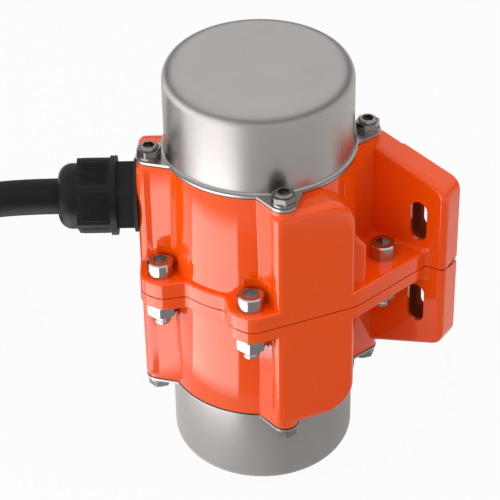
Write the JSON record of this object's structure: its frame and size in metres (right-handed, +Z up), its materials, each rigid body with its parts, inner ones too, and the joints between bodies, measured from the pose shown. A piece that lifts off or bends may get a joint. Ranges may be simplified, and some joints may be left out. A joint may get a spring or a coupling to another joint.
{
  "type": "vibration motor",
  "caption": "Foot-mounted electric vibration motor: round clamshell casing split across the shaft, domed caps over eccentric weights, slotted foot, cable gland with a flying lead.",
  "frame": {"origin": "centre of the lower cap's flat end, on the motor's shaft axis", "axes": "+Z up along the shaft, +Y out of the foot's bolted face, +X along the foot's width; the cable gland is on the -X side"},
  "size_m": [0.3452, 0.148, 0.171],
  "materials": {
    "orange_paint": "gloss",
    "cap_steel": "satin drawn stainless sheet",
    "fastener_steel": "bright",
    "gasket_black": "matt",
    "gland_plastic": "fine matt",
    "lead_rubber": "satin",
    "core_sleeve": "satin",
    "laminations": "stacked sheet, oiled",
    "copper_wire": "varnished copper",
    "cage_aluminium": "as cast",
    "ground_steel": "ground",
    "cage_brass": "pressed",
    "weight_steel": "zinc phosphate"
  },
  "bodies": {
    "casing": {"upper_housing": "orange_paint", "lower_housing": "orange_paint", "parting_gasket": "gasket_black", "upper_cap_gasket": "gasket_black", "lower_cap_gasket": "gasket_black", "upper_end_cap": "cap_steel", "lower_end_cap": "cap_steel", "cap_screws": "fastener_steel", "spring_washers": "fastener_steel", "flange_screws": "fastener_steel", "flange_washers": "fastener_steel", "flange_nuts": "fastener_steel", "gland_washer": "gasket_black", "gland_body": "gland_plastic", "gland_nut": "gland_plastic", "gland_insert": "gasket_black", "cable_lead": "lead_rubber", "cable_coil": "lead_rubber", "lead_cores": "core_sleeve", "core_ends": "core_sleeve", "core_ferrules": "fastener_steel", "stator_core": "laminations", "stator_windings": "copper_wire", "upper_bearing_outer_race": "ground_steel", "lower_bearing_outer_race": "ground_steel", "bearing_circlips": "ground_steel"},
    "rotor": {"rotor_shaft": "ground_steel", "rotor_core": "laminations", "rotor_cage": "cage_aluminium", "upper_bearing_inner_race": "ground_steel", "lower_bearing_inner_race": "ground_steel", "shaft_sleeves": "ground_steel", "upper_fixed_weight": "weight_steel", "lower_fixed_weight": "weight_steel", "weight_keys": "ground_steel", "weight_spacers": "ground_steel", "shaft_circlips": "ground_steel"},
    "upper_weight": {"upper_adjustable_weight": "weight_steel", "upper_weight_clamp_screw": "fastener_steel"},
    "lower_weight": {"lower_adjustable_weight": "weight_steel", "lower_weight_clamp_screw": "fastener_steel"},
    "upper_ball_set": {"upper_bearing_balls": "ground_steel", "upper_bearing_cage": "cage_brass"},
    "lower_ball_set": {"lower_bearing_balls": "ground_steel", "lower_bearing_cage": "cage_brass"}
  },
  "joints": [
    {"name": "rotor_spin", "type": "hinge", "parent": "casing", "child": "rotor", "pos_m": [0, 0, 0.0855], "axis": [0, 0, 1], "continuous": true},
    {"name": "upper_weight_turn", "type": "hinge", "parent": "rotor", "child": "upper_weight", "pos_m": [0, 0, 0.1562], "axis": [0, 0, 1], "range_deg": [0, 180]},
    {"name": "lower_weight_turn", "type": "hinge", "parent": "rotor", "child": "lower_weight", "pos_m": [0, 0, 0.0148], "axis": [0, 0, 1], "range_deg": [0, 180]},
    {"name": "upper_ball_orbit", "type": "hinge", "parent": "casing", "child": "upper_ball_set", "pos_m": [0, 0, 0.1264], "axis": [0, 0, 1], "continuous": true},
    {"name": "lower_ball_orbit", "type": "hinge", "parent": "casing", "child": "lower_ball_set", "pos_m": [0, 0, 0.0446], "axis": [0, 0, 1], "continuous": true}
  ],
  "couplings": [
    {"joint": "upper_ball_orbit", "follows": "rotor_spin", "ratio": 0.3808},
    {"joint": "lower_ball_orbit", "follows": "rotor_spin", "ratio": 0.3808}
  ]
}
